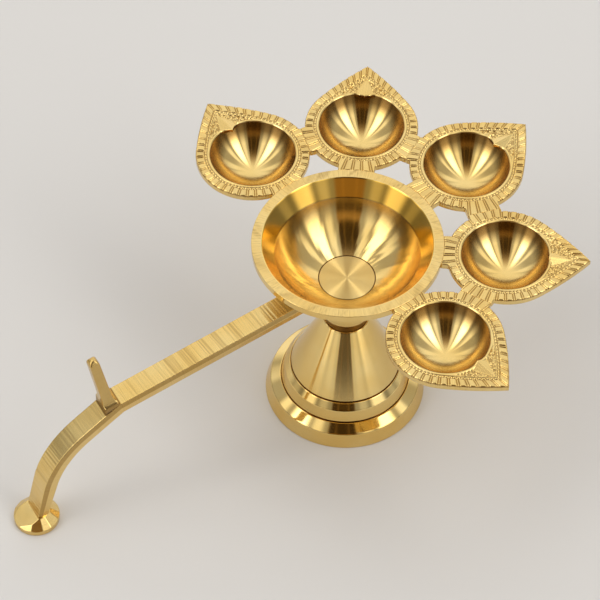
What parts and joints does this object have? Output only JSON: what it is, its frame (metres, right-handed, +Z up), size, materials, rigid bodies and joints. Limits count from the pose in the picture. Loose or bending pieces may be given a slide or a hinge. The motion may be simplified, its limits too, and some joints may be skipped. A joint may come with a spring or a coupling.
{
  "type": "aarti lamp",
  "caption": "Brass aarti lamp: a turned bowl on a screw-off tiered pedestal, leaf-shaped lamp cups in a fan round its rim, and a bar handle with a thumb peg and a foot.",
  "frame": {"origin": "middle of the pedestal's foot, on the table", "axes": "+Z up along the bowl's axis; the handle runs along -Y and the fan of cups spreads round +Y"},
  "size_m": [0.1693, 0.2255, 0.0852],
  "materials": {
    "turned_brass": "turned and polished",
    "cast_brass": "cast, fluted and polished",
    "filed_brass": "filed and polished"
  },
  "bodies": {
    "pedestal": {"pedestal": "turned_brass"},
    "neck_ring": {"neck_ring": "turned_brass"},
    "head": {"centre_bowl": "turned_brass", "centre_screw": "turned_brass", "petal_lamp_1": "cast_brass", "petal_lamp_2": "cast_brass", "petal_lamp_3": "cast_brass", "petal_lamp_4": "cast_brass", "petal_lamp_5": "cast_brass", "handle_bar": "filed_brass", "thumb_peg": "filed_brass", "tail_foot": "filed_brass"}
  },
  "joints": [
    {"name": "head_turn", "type": "hinge", "parent": "pedestal", "child": "neck_ring", "pos_m": [0, 0, 0.0426], "axis": [0, 0, 1], "range_deg": [0, 2160]},
    {"name": "head_lift", "type": "slide", "parent": "neck_ring", "child": "head", "axis": [0, 0, 1], "range_m": [0, 0.009]}
  ],
  "couplings": [
    {"joint": "head_lift", "follows": "head_turn", "m_per_rad": 0.00023873}
  ]
}
